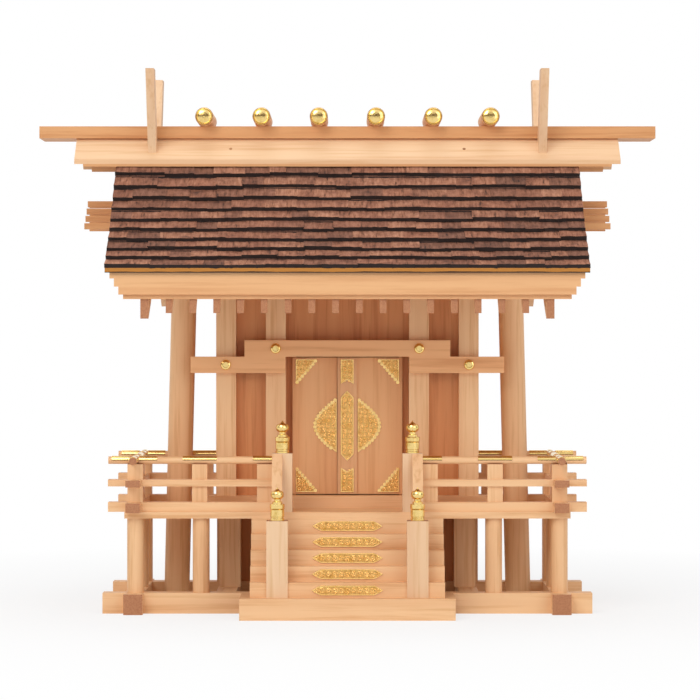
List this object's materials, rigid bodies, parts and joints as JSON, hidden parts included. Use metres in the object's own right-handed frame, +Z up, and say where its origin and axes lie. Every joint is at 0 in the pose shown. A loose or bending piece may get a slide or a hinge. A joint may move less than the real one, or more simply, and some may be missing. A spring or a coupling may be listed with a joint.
{
  "type": "kamidana",
  "caption": "Household Shinto shrine with a raised deck, railings, stairs, double doors, a bark-covered gable roof, crossed finials and ridge billets.",
  "frame": {"origin": "on the floor under the middle of the ridge, the centre of the underside of the bounding box", "axes": "+X along the ridge to the right seen from the front, -Y out of the front with its stairs and doors, +Z up"},
  "size_m": [0.6328, 0.364, 0.5477],
  "materials": {
    "hinoki": "satin",
    "cypress_bark": "matte",
    "gilt_brass": "polished"
  },
  "bodies": {
    "shrine": {"base_long_beams": "hinoki", "base_cross_beams": "hinoki", "floor_bearers": "hinoki", "stair_base": "hinoki", "deck_posts": "hinoki", "underfloor_posts": "hinoki", "deck_front_board": "hinoki", "deck_side_boards": "hinoki", "step_1": "hinoki", "step_2": "hinoki", "step_3": "hinoki", "step_4": "hinoki", "step_5": "hinoki", "stair_newels": "hinoki", "newel_finials": "gilt_brass", "stair_handrails": "hinoki", "long_bottom_rails": "hinoki", "long_middle_rails": "hinoki", "long_top_rails": "hinoki", "cross_bottom_rails": "hinoki", "cross_middle_rails": "hinoki", "cross_top_rails": "hinoki", "rail_posts": "hinoki", "rail_saddles": "gilt_brass", "front_sill": "hinoki", "body_floor": "hinoki", "pillars": "hinoki", "front_panels": "hinoki", "side_walls": "hinoki", "back_wall": "hinoki", "lintel_board": "hinoki", "lintel_knobs": "gilt_brass", "door_head": "hinoki", "door_jambs": "hinoki", "ridge_columns": "hinoki", "wall_plates": "hinoki", "ridge_pole": "hinoki", "rafters": "hinoki", "bargeboards": "hinoki", "gable_rods": "hinoki", "eaves_layer_1": "hinoki", "eaves_layer_2": "hinoki", "eaves_layer_3": "hinoki", "eaves_layer_4": "hinoki", "bark_front": "cypress_bark", "bark_rear": "cypress_bark", "ridge_core": "hinoki", "ridge_under_boards": "hinoki", "ridge_side_boards": "hinoki", "ridge_cap": "hinoki", "chigi_boards": "hinoki", "katsuogi_billets": "hinoki", "billet_caps": "gilt_brass", "step_plates": "gilt_brass"},
    "left_door": {"left_door_leaf": "hinoki", "left_door_plates": "gilt_brass"},
    "right_door": {"right_door_leaf": "hinoki", "right_door_batten": "hinoki", "right_door_plates": "gilt_brass"}
  },
  "joints": [
    {"name": "left_door_pivot", "type": "hinge", "parent": "shrine", "child": "left_door", "pos_m": [-0.054, -0.0215, 0.18], "axis": [0, 0, -1], "range_deg": [0, 90]},
    {"name": "right_door_pivot", "type": "hinge", "parent": "shrine", "child": "right_door", "pos_m": [0.054, -0.0215, 0.18], "axis": [0, 0, 1], "range_deg": [0, 90]}
  ]
}
